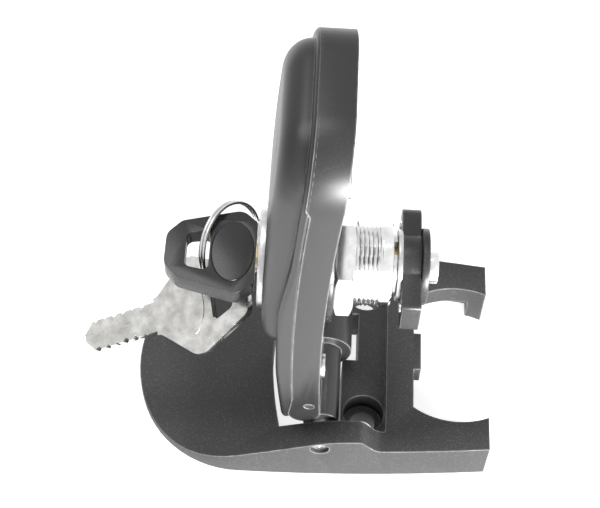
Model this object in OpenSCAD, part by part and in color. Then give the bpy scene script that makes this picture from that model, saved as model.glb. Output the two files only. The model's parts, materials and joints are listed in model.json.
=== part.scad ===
// Hinged cam lock: a cast fork base that two screws hold down, and a domed lid on a cross pin.
// The lid carries a keyed cam lock that passes through the mouth of the fork when it is shut.
// Frame: origin on the rim plane midway between the screws, +X to the mouth, +Z up, lid open.

/* [Base casting] */
// Height of the fork's top face above the rim
fork_top = 14; // [13:0.5:17]
// Half of the greatest width of the base
base_half_w = 32.7; // [32:0.1:36]
// Reach of the rounded tail behind the screws
tail_reach = 63.5; // [60:0.5:70]
// Reach of the prongs in front of the screws
prong_reach = 34.2; // [33:0.2:38]
// Radius of the long arcs that narrow the sides
side_r = 640; // [450:10:900]
// Radius of the tail's tip
tail_tip_r = 38; // [36:0.5:42]
// Radius of the tail's corners
tail_corner_r = 29; // [27:0.5:30]
// Thickness of the fork plate round the mouth
plate_t = 6.8; // [5.5:0.1:8]
// Thickness of the skirt
skirt_t = 4.5; // [3.5:0.1:5.5]
// Thickness of the tail at its edge
tail_edge = 2.5; // [2:0.1:4]
// Wall over the hollow of the tail
tail_wall = 3.5; // [3:0.1:4.5]
// Height of the cheeks above the rim
cheek_top = 19.5; // [19:0.1:21]
// Depth of the floor between the cheeks below the fork's top
floor_drop = 2; // [1:0.1:3]
// Radius of the fork's mouth
mouth_r = 21.2; // [20.5:0.1:22.5]
// Distance from the screws to the centre of the mouth
mouth_x = 25.7; // [25:0.1:27]
// Distance from the screws to the straight back wall of the mouth
wall_x = 13.6; // [12.8:0.1:14]
// Width of the locking tab
tab_w = 11.4; // [8:0.2:14]
// Reach of the locking tab from the back wall
tab_out = 2; // [1:0.1:2.4]

/* [Screw holes] */
// Distance between the two screw holes
screw_pitch = 38.4; // [36:0.2:40]
// Diameter of the screw holes
screw_hole_d = 7; // [6.4:0.1:7.4]
// Diameter of the counterbores
counterbore_d = 11; // [10.6:0.1:11.6]
// Depth of the counterbores
counterbore_depth = 6.5; // [5:0.1:7.5]

/* [Hinge] */
// Distance from the screws back to the hinge pin
hinge_back = 11.5; // [11:0.1:12.5]
// Height of the hinge pin above the rim
hinge_z = 15.3; // [15:0.1:16]
// Diameter of the hinge pin
pin_d = 5; // [4:0.1:5.5]
// Radial play of the hinge pin in its holes
pin_play = 0.05; // [0.02:0.01:0.09]
// Half of the gap between the cheeks
pocket_half = 25.4; // [25.1:0.1:26]
// Radius of the lid's hinge barrel
barrel_r = 4.8; // [4.4:0.1:5.2]
// Radius of the thicker lug on the hinge barrel
lug_r = 7.6; // [6.5:0.1:8]
// Length of the lug
lug_len = 14; // [8:0.5:18]
// Gap that the hinge barrel keeps to the casting
swing_gap = 0.5; // [0.4:0.05:0.8]

/* [Lid] */
// Half of the lid's width
lid_half_w = 24.5; // [23:0.1:24.9]
// Length of the lid from the hinge pin to its far end
lid_len = 113; // [105:1:120]
// Corner radius of the lid's far end
lid_corner_r = 16; // [12:0.5:20]
// Distance from the hinge pin to the lid's inner face
face_back = 1.3; // [1:0.1:1.6]
// Thickness of the inner shell
shell_t = 8.4; // [8:0.1:9.5]
// Depth of the shallow tray in the inner shell
tray_depth = 2.2; // [1:0.1:3]
// Width of the rim round the tray
tray_rim = 3.2; // [2.5:0.1:4]
// Height of the outer shell's dome
dome_t = 7; // [6:0.1:8]
// Rounding of the dome's edge
dome_round = 5.4; // [4:0.1:6]
// Inset of the dome from the edge of the inner shell
dome_inset = 2.4; // [2:0.1:3]
// Length of the dome's tapering lower end
dome_tail = 16; // [12:1:24]
// Height of the dome's lower end above the hinge pin
dome_start = 26.5; // [25:0.5:28]
// Radius of the lid's gentle bow
bow_r = 700; // [500:10:1200]
// Height of the deepest point of the bow above the hinge pin
bow_at = 38; // [30:1:60]

/* [Cam lock] */
// Distance from the hinge pin to the lock's axis
lock_up = 42.5; // [42:0.1:44]
// Diameter of the lock barrel's thread
thread_d = 21.8; // [20:0.1:22]
// Distance across the flats of the lock barrel
flats_w = 19.9; // [19:0.1:20.5]
// Distance from the lid's inner face to the end of the lock barrel
barrel_out = 16.6; // [15:0.1:18]
// Diameter of the dark sealing disc under the nut
gasket_d = 31; // [28:0.5:32]
// Thickness of the sealing disc
gasket_t = 2.2; // [1.5:0.1:2.3]
// Distance across the flats of the nut
nut_af = 24; // [23:0.5:24.5]
// Thickness of the nut
nut_t = 5; // [4:0.1:6]
// Diameter of the escutcheon ring on the dome
escutcheon_d = 25.6; // [25.2:0.1:27]
// Height of the escutcheon ring above the dome
escutcheon_t = 1.6; // [1:0.1:2.4]
// Diameter of the lock's plug
plug_d = 13; // [12:0.1:14]
// Radial play of the plug in the barrel
plug_play = 0.06; // [0.03:0.01:0.09]
// Number of wafer tumblers
wafer_count = 7; // [5:1:8]
// Reach of each arm of the cam
cam_reach = 16; // [15:0.5:17.5]
// Width of the cam's arms
cam_w = 11; // [9:0.5:13]
// Thickness of the cam
cam_t = 4.8; // [4:0.1:5.5]
// Diameter of the washer that holds the cam
hub_d = 19.4; // [16:0.2:20]
// Thickness of the washer that holds the cam
hub_t = 1.9; // [1.2:0.1:2.4]
// Diameter of the boss in the middle of the cam
cam_boss_d = 16.4; // [14:0.2:18]
// Diameter of the stop washer behind the cam
stop_washer_d = 18.4; // [16:0.2:20]

/* [Keys] */
// Thickness of the key blades
blade_t = 2.2; // [1.8:0.1:2.6]
// Width of the key blades
blade_w = 7.4; // [6.5:0.1:8]
// Length of the key blades beyond the shoulder
blade_len = 24; // [22:0.5:26]
// Length of the key heads
head_len = 23; // [21:0.5:26]
// Greatest half width of the key heads
head_half_w = 12.6; // [11.5:0.1:13.2]
// Thickness of the plastic key head
head_t = 5; // [4.4:0.1:6]
// Diameter of the split ring's wire
wire_d = 1; // [0.8:0.1:1.2]
// Radius of the split ring to the middle of its wire
ring_r = 12.2; // [12:0.1:12.5]
// Length of the spare key's bow
bow_len = 27; // [26:0.5:28]
// Half of the width of the spare key's bow
bow_half_w = 14; // [13.5:0.1:14.4]
// Width of the spare key's blade
spare_blade_w = 8; // [7:0.1:8.4]

/* [Hidden] */
$fn = 64;
big = 200;
eps = 0.01;
seat = 0.02;

// Levels and places that follow from the sizes above
hinge_x = -hinge_back;
floor_z = fork_top - floor_drop;
ramp_top_x = hinge_x + 9.5;
ramp_foot_x = ramp_top_x + (cheek_top - fork_top) * 1.27;
face_x = hinge_x - face_back;
lock_z = hinge_z + lock_up;
lid_top_z = hinge_z + lid_len;

// Rounded outlines: each corner is [x, y, radius]
function unit(v) = v / norm(v);
function corner_arc(a, b, c, r, n) =
    let (u = unit(a - b), v = unit(c - b), half = acos(u * v) / 2,
         o = b + unit(u + v) * r / sin(half),
         s = b + u * r / tan(half) - o, e = b + v * r / tan(half) - o,
         from = atan2(s[1], s[0]), sweep = atan2(cross(s, e), s * e))
    [for (i = [0:n]) o + r * [cos(from + sweep * i / n), sin(from + sweep * i / n)]];
function rounded(p, n = 8) =
    let (m = len(p), q = [for (v = p) [v[0], v[1]]])
    [for (i = [0:m - 1]) each p[i][2] == 0 ? [q[i]]
        : corner_arc(q[(i + m - 1) % m], q[i], q[(i + 1) % m], p[i][2], n)];

// Places a shape drawn in X and Z so that it runs along Y from y0 to y1
module along_y(y0, y1) {
    translate([0, y1, 0]) rotate([90, 0, 0]) linear_extrude(y1 - y0) children();
}
// A round bar along Y or X
module bar_y(x, z, r, y0, y1) {
    translate([x, y1, z]) rotate([90, 0, 0]) cylinder(r = r, h = y1 - y0);
}
module bar_x(y, z, r, x0, x1) {
    translate([x0, y, z]) rotate([0, 90, 0]) cylinder(r = r, h = x1 - x0);
}

// ---- Base casting ----
// Plan of the base, drawn in by inset on all sides: a three-arc tail and two long side arcs
function arc(centre, r, from, to, n) =
    [for (i = [1:n]) let (a = from + (to - from) * i / n) centre + r * [cos(a), sin(a)]];
function plan_half(inset) =
    let (tip = [tail_tip_r - tail_reach, 0], off = tail_tip_r - tail_corner_r,
         side_y = base_half_w - tail_corner_r,
         corner = [tip[0] - sqrt(pow(off, 2) - pow(side_y, 2)), side_y],
         turn = 180 - asin(side_y / off),
         end = asin((prong_reach - inset - corner[0]) / (side_r - inset)))
    concat([[inset - tail_reach, 0]],
           arc(tip, tail_tip_r - inset, 180, turn, 5),
           arc(corner, tail_corner_r - inset, turn, 90, 12),
           arc([corner[0], base_half_w - side_r], side_r - inset, 90, 90 - end, 10));
module base_plan(inset = 0) {
    half = plan_half(inset);
    m = len(half);
    polygon(concat(half, [for (i = [m - 1:-1:1]) [half[i][0], -half[i][1]]]));
}
// Side view of the base, dropped by down: ogee tail, flat cheeks, S ramp to the fork
module base_side(down = 0) {
    slope = 0.404;
    mid_x = hinge_x - 18.5;
    mid_z = (tail_edge + cheek_top) / 2;
    low_x = mid_x - (mid_z - tail_edge) / slope;
    high_x = mid_x + (cheek_top - mid_z) / slope;
    polygon(rounded([
        [-tail_reach - 1, -1, 0],
        [-tail_reach - 1, tail_edge - down, 0],
        [low_x, tail_edge - down, 41],
        [high_x, cheek_top - down, 32],
        [ramp_top_x + 1.5, cheek_top - down, 2.6],
        [ramp_foot_x - 1.2, fork_top - down, 3],
        [prong_reach + 1, fork_top - down, 0],
        [prong_reach + 1, -1, 0]]));
}
module base_body() {
    intersection() {
        linear_extrude(big) base_plan();
        along_y(-big / 2, big / 2) base_side();
    }
}
// Fork mouth: a round throat cut off by the straight back wall
module mouth(grow = 0) {
    intersection() {
        translate([mouth_x, 0]) circle(r = mouth_r + grow, $fn = 128);
        translate([wall_x - grow, -big / 2]) square(big);
    }
}
// Hollow under the fork, open to the mouth and closed by the skirt outside
module fork_hollow() {
    web_x = lug_window_x() + skirt_t;
    difference() {
        translate([0, 0, -1]) linear_extrude(fork_top - plate_t + 1) intersection() {
            base_plan(skirt_t);
            translate([web_x, -big / 2]) square(big);
        }
        for (side = [-1, 1]) translate([0, side * screw_pitch / 2, -1])
            cylinder(d = counterbore_d + 5, h = fork_top);
    }
}
// Hollow under the tail, with a middle rib and two slanting ones
module tail_hollow() {
    difference() {
        intersection() {
            translate([0, 0, -1]) linear_extrude(cheek_top) base_plan(skirt_t);
            translate([0, 0, -eps]) along_y(-big / 2, big / 2) base_side(tail_wall);
            translate([-big, -pocket_half, 0]) cube([big + window_x() - skirt_t, 2 * pocket_half, big]);
        }
        translate([window_x() - skirt_t, 0, 0]) for (turn = [-32, 0, 32]) rotate([0, 0, turn])
            translate([-big / 2, -1.25, 0]) cube([big / 2 + 20, 2.5, big]);
    }
}
function window_x() = hinge_x - 12.2;
function lug_window_x() = hinge_x + lug_r + 1.9;
lug_y0 = -2.3;
// Window between the cheeks for the hinge barrel, and the wider notch for its lug
module hinge_window() {
    bow = 113;
    translate([0, 0, -1]) linear_extrude(big) {
        intersection() {
            translate([window_x() - 1.8 + bow, 0]) circle(r = bow, $fn = 180);
            translate([window_x() - 5, -pocket_half])
                square([hinge_x + barrel_r + swing_gap - window_x() + 5, 2 * pocket_half]);
        }
        translate([hinge_x, lug_y0 - swing_gap])
            square([lug_window_x() - hinge_x, lug_len + 2 * swing_gap]);
    }
}
module tab() {
    side = tab_w / 2;
    translate([wall_x - 1, 0, 0]) rotate([90, 0, 90]) linear_extrude(tab_out + 1)
        polygon([[-side, fork_top], [-side, 7.5], [-side + 2.4, 5], [side - 2.4, 5], [side, 7.5],
                 [side, fork_top]]);
}
module base_casting() color([0.2, 0.2, 0.21]) {
    difference() {
        union() {
            difference() {
                base_body();
                fork_hollow();
                tail_hollow();
                translate([0, 0, -1]) linear_extrude(big) mouth();
            }
            tab();
        }
        hinge_window();
        translate([window_x() + 1, -pocket_half, floor_z])
            cube([ramp_foot_x - window_x(), 2 * pocket_half, big]);
        bar_y(hinge_x, hinge_z, pin_d / 2 + seat, -big / 2, big / 2);
        for (side = [-1, 1]) translate([0, side * screw_pitch / 2, 0]) {
            translate([0, 0, -1]) cylinder(d = screw_hole_d, h = big);
            translate([0, 0, floor_z - counterbore_depth]) cylinder(d = counterbore_d, h = big);
        }
    }
}

// ---- Hinge pin ----
module hinge_pin() color([0.75, 0.75, 0.76]) {
    half = base_half_w - 1.4;
    cap = 0.5;
    difference() {
        bar_y(hinge_x, hinge_z, pin_d / 2, -half, half);
        for (side = [-1, 1]) translate([hinge_x, side * half, hinge_z]) rotate([90, 0, 0])
            cylinder(d = 1.2, h = 2 * cap, center = true);
    }
}

// ---- Lid ----
// Inner face of the lid at height z: the lid is bowed a little, hollow side to the base
function bow_x(z) = bow_r - sqrt(pow(bow_r, 2) - pow(z - hinge_z - bow_at, 2));
module bow_disc(depth) {
    translate([face_x + bow_r, hinge_z + bow_at]) circle(r = bow_r + depth, $fn = 720);
}
// Face view of the lid, drawn in by inset: square hinge end, rounded far end
module lid_face(inset = 0, foot = 0) {
    w = lid_half_w - inset;
    r = lid_corner_r - inset;
    polygon(rounded([[-w, foot, 0], [w, foot, 0], [w, lid_top_z - inset, r],
                     [-w, lid_top_z - inset, r]], 12));
}
module slab_x(x0, x1) {
    translate([x0, 0, 0]) rotate([90, 0, 90]) linear_extrude(x1 - x0) children();
}
nose_z = hinge_z + 4.9;
function lid_mid_x() = face_x - shell_t / 2 + bow_x(nose_z);
lug_y1 = lug_y0 + lug_len;
module lid_inner_shell() color([0.36, 0.36, 0.37]) {
    end_gap = 0.3;
    difference() {
        union() {
            intersection() {
                slab_x(face_x - shell_t - 5, face_x + 20) lid_face(0, nose_z);
                along_y(-lid_half_w, lid_half_w) difference() {
                    bow_disc(shell_t);
                    bow_disc(0);
                }
            }
            bar_y(lid_mid_x(), nose_z, shell_t / 2, -lid_half_w, lid_half_w);
            bar_y(hinge_x, hinge_z, barrel_r, -lid_half_w + end_gap, lid_half_w - end_gap);
            bar_y(hinge_x, hinge_z, lug_r, lug_y0, lug_y1);
        }
        tray();
        bar_y(hinge_x, hinge_z, pin_d / 2 + pin_play, -big, big);
        lock_bore();
        bar_x(0, lock_z, gasket_d / 2 + 0.5, face_x, face_x + 20);
        lid_screw_holes();
        for (side = [-1, 1]) side_pin_place(side) cylinder(d = side_pin_d + 2 * seat, h = side_pin_len);
    }
}
// Shallow tray in the inner face, with a seat round the lock and a boss round each screw
module tray() {
    tray_foot = hinge_z + lug_r + 6;
    difference() {
        intersection() {
            slab_x(face_x - tray_depth, face_x + 20) lid_face(tray_rim, tray_foot);
            along_y(-big, big) bow_disc(tray_depth);
        }
        bar_x(0, lock_z, gasket_d / 2 + 1.5, -big, big);
        for (p = lid_screw_spots()) bar_x(p[0], p[1], lid_screw_head / 2 + 1.2, -big, big);
        for (z = [lock_z + 30, lock_z + 44]) translate([-big, -big, z - 1]) cube([2 * big, 2 * big, 2]);
    }
}
module lock_bore() {
    bar_x(0, lock_z, thread_d / 2 + seat, face_x - shell_t - dome_t - 5, face_x + 20);
}
lid_screw_d = 3.5;
lid_screw_head = 6.4;
function lid_screw_spots() = [for (side = [-1, 1]) for (z = [hinge_z + 18.5, lock_z + 22, lid_top_z - 13])
    [side * (lid_half_w - 7.5), z]];
screw_bite = 3;
screw_stop = 2;
screw_sink = 0.5;
head_play = 0.2;
// Levels of one lid screw: its tip, and its seat sunk in the bowed inner face
function screw_tip_x(p) = face_x + bow_x(p[1]) - shell_t + (in_dome(p) ? -screw_bite : screw_stop);
function screw_seat_x(p) = face_x + bow_x(p[1]) - screw_sink;
module lid_screw_holes() {
    for (p = lid_screw_spots()) {
        bar_x(p[0], p[1], lid_screw_d / 2 + seat, screw_tip_x(p) - seat, face_x + 20);
        bar_x(p[0], p[1], lid_screw_head / 2 + head_play, screw_seat_x(p), face_x + 20);
    }
}
// Outer shell: rings of the dome's outline, drawn in along a quarter round and joined
dome_foot = hinge_z + dome_start;
function dome_outline(inset) =
    let (w = lid_half_w - dome_inset - inset, top = lid_top_z - dome_inset - inset,
         r = lid_corner_r - dome_inset - inset / 2, turn = dome_foot + dome_tail)
    concat([for (a = [90:-10:10]) [r * cos(a) + w - r, top - r + r * sin(a)]],
           [for (i = [0:8]) [w, top - r + (turn - top + r) * i / 8]],
           [for (a = [-10:-10:-170]) [w * cos(a), turn + (dome_tail - inset) * sin(a)]],
           [for (i = [0:8]) [-w, turn + (top - r - turn) * i / 8]],
           [for (a = [170:-10:90]) [r * cos(a) - w + r, top - r + r * sin(a)]]);
module lid_outer_shell() color([0.36, 0.36, 0.37]) {
    steps = 6;
    back = face_x - shell_t;
    rings = concat([[0, seat]], [for (i = [0:steps])
        [dome_round * (1 - cos(90 * i / steps)), dome_t - dome_round + dome_round * sin(90 * i / steps)]]);
    outline = [for (ring = rings) [for (p = dome_outline(ring[0]))
        [bowed_x(shell_t + ring[1], p[1]), p[0], p[1]]]];
    m = len(outline[0]);
    last = (len(outline) - 1) * m;
    difference() {
        polyhedron([for (ring = outline) each ring],
            concat([for (i = [0:floor(m / 2) - 1]) strip(i, m, 0, false)],
                   [for (i = [0:floor(m / 2) - 1]) strip(i, m, last, true)],
                   [for (k = [0:m:last - m]) for (i = [0:m - 1]) let (j = (i + 1) % m)
                       each [[k + i, k + m + j, k + j], [k + i, k + m + i, k + m + j]]]));
        lock_bore();
        bar_x(0, lock_z, escutcheon_d / 2 + seat, back - dome_t - 5, back - dome_t + escutcheon_sink);
        for (p = lid_screw_spots()) if (in_dome(p))
            bar_x(p[0], p[1], lid_screw_d / 2 + seat, screw_tip_x(p) - seat, back + 5);
    }
}
// One flat strip across the dome's outline, between two points and the two that mirror them
function strip(i, m, from, turned) =
    let (c = [for (k = i + 1 == m - 2 - i ? [i, i + 1, m - 1 - i] : [i, i + 1, m - 2 - i, m - 1 - i])
        from + k])
    turned ? [for (k = [len(c) - 1:-1:0]) c[k]] : c;
// Place of a surface this deep behind the bowed face: all such surfaces share one centre
function bowed_x(depth, z) = face_x + bow_r - sqrt(pow(bow_r + depth, 2) - pow(z - hinge_z - bow_at, 2));
function in_dome(p) = p[1] > dome_foot + dome_tail;
module lid_screws() color([0.7, 0.7, 0.71]) {
    head_h = 1.6;
    slot = [1.4, 0.9, 3.6];
    for (p = lid_screw_spots()) {
        top_x = screw_seat_x(p) + head_h;
        bar_x(p[0], p[1], lid_screw_d / 2, screw_tip_x(p), top_x);
        difference() {
            bar_x(p[0], p[1], lid_screw_head / 2, screw_seat_x(p) + seat, top_x);
            for (turn = [-45, 45]) translate([top_x, p[0], p[1]]) rotate([turn, 0, 0])
                cube(slot, center = true);
        }
    }
}
side_pin_d = 2.6;
side_pin_len = 8;
module side_pin_place(side) {
    translate([face_x - 2.2, side * (lid_half_w + eps), hinge_z + 9.3]) rotate([side * 90, 0, 0]) children();
}
module lid_side_pins() color([0.75, 0.75, 0.76]) {
    for (side = [-1, 1]) translate([0, -side * 0.15, 0]) side_pin_place(side)
        cylinder(d = side_pin_d, h = side_pin_len - 0.3);
}

// ---- Cam lock ----
escutcheon_sink = 1.2;
flange_r = thread_d / 2 + 0.8;
dome_x = face_x - shell_t - dome_t;
module lock_escutcheon() color([0.6, 0.6, 0.61]) {
    x = dome_x + bow_x(lock_z);
    translate([x + escutcheon_sink - seat, 0, lock_z]) rotate([0, -90, 0]) rotate_extrude($fn = 96)
        polygon([[flange_r + 0.1, 0], [escutcheon_d / 2, 0],
                 [escutcheon_d / 2, escutcheon_sink + escutcheon_t - 0.6],
                 [escutcheon_d / 2 - 0.5, escutcheon_sink + escutcheon_t],
                 [flange_r + 0.1, escutcheon_sink + escutcheon_t]]);
}
lock_face_x = dome_x - escutcheon_t;
barrel_end_x = face_x + barrel_out;
module flatted_rod(r, across, turn, x0, x1) {
    translate([x0, 0, lock_z]) rotate([turn, 0, 0]) rotate([90, 0, 90]) linear_extrude(x1 - x0)
        intersection() {
            circle(r = r);
            square([across, 3 * r], center = true);
        }
}
flat_turn = -23;
module lock_barrel() color([0.8, 0.8, 0.8]) {
    difference() {
        union() {
            bar_x(0, lock_z, flange_r, lock_face_x, dome_x + escutcheon_sink - 0.1);
            flatted_rod(thread_d / 2, flats_w, flat_turn, dome_x, barrel_end_x);
        }
        bar_x(0, lock_z, plug_d / 2 + plug_play, lock_face_x - 1, barrel_end_x + 1);
        bar_x(0, lock_z, plug_d / 2 + 1.2, lock_face_x - 1, lock_face_x + plug_lip);
    }
}
plug_lip = 1.4;
module lock_gasket() color([0.12, 0.12, 0.12]) {
    difference() {
        bar_x(0, lock_z, gasket_d / 2, face_x + seat, face_x + gasket_t);
        bar_x(0, lock_z, thread_d / 2 + seat, face_x - 1, face_x + gasket_t + 1);
    }
}
nut_turn = 22;
module lock_nut() color([0.82, 0.82, 0.83]) {
    x = face_x + gasket_t + seat;
    difference() {
        intersection() {
            translate([x, 0, lock_z]) rotate([nut_turn, 0, 0]) rotate([90, 0, 90])
                cylinder(r = nut_af / 2 / cos(30), h = nut_t, $fn = 6);
            translate([x, 0, lock_z]) rotate([0, 90, 0]) rotate_extrude($fn = 96)
                polygon([[0, 0], [nut_af / 2 + 0.4, 0], [nut_af / 2 + 2.6, 1.2],
                         [nut_af / 2 + 2.6, nut_t - 1.2], [nut_af / 2 + 0.4, nut_t], [0, nut_t]]);
        }
        bar_x(0, lock_z, thread_d / 2 + seat, x - 1, x + nut_t + 1);
    }
}
// Plug: turned rod with a keyway, a slot for each wafer, a groove for its clip, a flatted tail
keyway_play = 0.1;
wafer_t = 1;
wafer_pitch = 2.5;
wafer_x0 = lock_face_x + 5;
wafer_h = 5.4;
clip_x = barrel_end_x + 0.2;
clip_t = 1;
stop_t = 1.2;
cam_x = clip_x + clip_t + stop_t + 0.1;
tail_end_x = cam_x + cam_t - 0.4;
tail_r = 4.6;
tail_flats = 7;
module plug() color([0.72, 0.68, 0.55]) {
    difference() {
        union() {
            bar_x(0, lock_z, plug_d / 2 + 1.1, lock_face_x + 0.2, lock_face_x + plug_lip - 0.1);
            bar_x(0, lock_z, plug_d / 2, lock_face_x + 0.2, clip_x + clip_t);
            flatted_rod(tail_r, tail_flats, 0, clip_x, tail_end_x);
        }
        translate([lock_face_x - 1, -blade_w / 2 - keyway_play, lock_z - blade_t / 2 - keyway_play])
            cube([blade_len + 2, blade_w + 2 * keyway_play, blade_t + 2 * keyway_play]);
        for (i = [0:wafer_count - 1])
            translate([wafer_x0 + i * wafer_pitch - keyway_play, -plug_d, lock_z - wafer_h / 2 - keyway_play])
                cube([wafer_t + 2 * keyway_play, 2 * plug_d, wafer_h + 2 * keyway_play]);
        difference() {
            bar_x(0, lock_z, plug_d, clip_x - seat, clip_x + clip_t + 1);
            bar_x(0, lock_z, plug_d / 2 - 1, clip_x - 1, clip_x + clip_t + 2);
        }
        bar_x(0, lock_z, cam_bolt_d / 2 + seat, tail_end_x - 8, tail_end_x + 1);
    }
}
module wafer_tumblers() color([0.78, 0.66, 0.36]) {
    half = sqrt(pow(plug_d / 2, 2) - pow(wafer_h / 2, 2)) - 0.15;
    gap = 0.12;
    for (i = [0:wafer_count - 1]) translate([wafer_x0 + i * wafer_pitch, 0, lock_z]) difference() {
        translate([0, -half, -wafer_h / 2]) cube([wafer_t, 2 * half, wafer_h]);
        translate([-1, -blade_w / 2 - gap, -blade_t / 2 - gap])
            cube([wafer_t + 2, blade_w + 2 * gap, blade_t + 2 * gap]);
    }
}
// Open clip in the plug's groove, which keeps the plug from sliding out of the barrel
module plug_clip() color([0.5, 0.5, 0.52]) {
    translate([clip_x, 0, lock_z]) rotate([90, 0, 90]) linear_extrude(clip_t - 2 * seat) difference() {
        circle(r = plug_d / 2 + 1.4);
        circle(r = plug_d / 2 - 1 + seat);
        translate([-2, 0]) square([4, big]);
    }
}
module cam_stop_washer() color([0.6, 0.6, 0.62]) {
    difference() {
        bar_x(0, lock_z, stop_washer_d / 2, cam_x - stop_t, cam_x - seat);
        flatted_rod(tail_r + seat, tail_flats + 2 * seat, 0, cam_x - stop_t - 1, cam_x + 1);
    }
}
// Cam: a double-ended wing round a boss, with a steel pin near the end of each arm
module cam_shape() {
    union() {
        polygon(rounded([[-cam_reach, -cam_w / 2, 1.2], [cam_reach - 1, -cam_w / 2, 4.5],
                         [cam_reach, 0, 9], [cam_reach - 1, cam_w / 2, 4.5],
                         [-cam_reach, cam_w / 2, 1.2]]));
        circle(d = cam_boss_d);
    }
}
cam_pin_d = 2.4;
cam_pin_reach = cam_reach - 3.4;
module cam() color([0.13, 0.13, 0.13]) {
    difference() {
        translate([cam_x, 0, lock_z]) rotate([90, 0, 90]) linear_extrude(cam_t) cam_shape();
        flatted_rod(tail_r + seat, tail_flats + 2 * seat, 0, cam_x - 1, cam_x + cam_t + 1);
        for (side = [-1, 1]) bar_x(side * cam_pin_reach, lock_z, cam_pin_d / 2 + seat, cam_x - 1, cam_x + cam_t + 1);
    }
}
module cam_tip_pins() color([0.85, 0.85, 0.86]) {
    for (side = [-1, 1]) bar_x(side * cam_pin_reach, lock_z, cam_pin_d / 2, cam_x - 0.5, cam_x + cam_t + 0.3);
}
module cam_hub_washer() color([0.15, 0.15, 0.15]) {
    difference() {
        bar_x(0, lock_z, hub_d / 2, cam_x + cam_t + seat, cam_x + cam_t + hub_t);
        bar_x(0, lock_z, cam_bolt_d / 2 + seat, cam_x, cam_x + big);
    }
}
cam_bolt_d = 4;
cam_bolt_head = 8.4;
module cam_bolt() color([0.8, 0.8, 0.8]) {
    x = cam_x + cam_t + hub_t + seat;
    head_h = 2.6;
    difference() {
        union() {
            bar_x(0, lock_z, cam_bolt_d / 2, tail_end_x - 7, x + eps);
            bar_x(0, lock_z, cam_bolt_head / 2, x, x + head_h);
        }
        translate([x + head_h - 1, 0, lock_z]) rotate([0, 90, 0]) cylinder(r = 2.3, h = 2, $fn = 6);
    }
}

// ---- Keys ----
// Heads are widest by the blade and narrow towards their outer end
head_x1 = lock_face_x - 0.8;
function head_outline(len, half) = rounded([
    [0, -half * 0.72, 1.5], [-len * 0.17, -half, 3.5], [-len * 0.84, -half * 0.68, 3],
    [-len, -half * 0.36, 4], [-len, half * 0.36, 4], [-len * 0.84, half * 0.68, 3],
    [-len * 0.17, half, 3.5], [0, half * 0.72, 1.5]], 5);
function window_outline(len, half) = rounded([
    [-len * 0.51, -half * 0.48, 1.4], [-len * 0.775, -half * 0.4, 1.8],
    [-len * 0.775, half * 0.4, 1.8], [-len * 0.51, half * 0.48, 1.4]], 5);
// Oval badge: it ends short of the window, so the ring passes beside it
badge_x = head_x1 - head_len * 0.255;
badge_half_x = head_len * 0.235;
badge_half_y = head_len * 0.39;
badge_sink = 0.5;
module badge(grow, z0, z1) {
    translate([badge_x, 0, z0]) linear_extrude(z1 - z0) scale([badge_half_x / badge_half_y, 1])
        circle(r = badge_half_y + grow);
}
key_neck = 9;
module key_blade() color([0.8, 0.8, 0.81]) {
    side = blade_w / 2;
    tip = 0.6 + blade_len;
    translate([head_x1, 0, lock_z]) difference() {
        translate([0, 0, -blade_t / 2]) linear_extrude(blade_t) polygon([
            [-key_neck, -side], [tip - 3, -side], [tip, -0.8], [tip, 0.8], [tip - 3, side],
            [-key_neck, side]]);
        blade_cuts(6, side, blade_t);
    }
}
module key_head() color([0.1, 0.1, 0.1]) {
    difference() {
        translate([head_x1, 0, lock_z - head_t / 2]) linear_extrude(head_t) difference() {
            polygon(head_outline(head_len, head_half_w));
            polygon(window_outline(head_len, head_half_w));
        }
        translate([head_x1 - key_neck - 0.05, -blade_w / 2 - seat, lock_z - blade_t / 2 - seat])
            cube([key_neck + 1, blade_w + 2 * seat, blade_t + 2 * seat]);
        badge(seat, lock_z + head_t / 2 - badge_sink, lock_z + head_t);
        badge(seat, lock_z - head_t, lock_z - head_t / 2 + badge_sink);
    }
}
module key_badge() color([0.16, 0.16, 0.16]) {
    proud = 0.35;
    badge(0, lock_z + head_t / 2 - badge_sink + seat, lock_z + head_t / 2 + proud);
    badge(0, lock_z - head_t / 2 - proud, lock_z - head_t / 2 + badge_sink - seat);
}
// Split ring: two turns of wire side by side, hung through the key head's window
ring_spot = [-6.6, 6.65, -6.63];
ring_turns = [0, 114.8, 153.5];
module ring_place() {
    translate([head_x1, 0, lock_z] + ring_spot) rotate(ring_turns) children();
}
module split_ring() color([0.6, 0.6, 0.6]) {
    half = wire_d / 2;
    ring_place() rotate_extrude($fn = 96) translate([ring_r, 0]) {
        translate([0, half]) circle(r = half, $fn = 24);
        translate([0, -half]) circle(r = half, $fn = 24);
        square([wire_d * 0.9, wire_d], center = true);
    }
}
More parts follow.
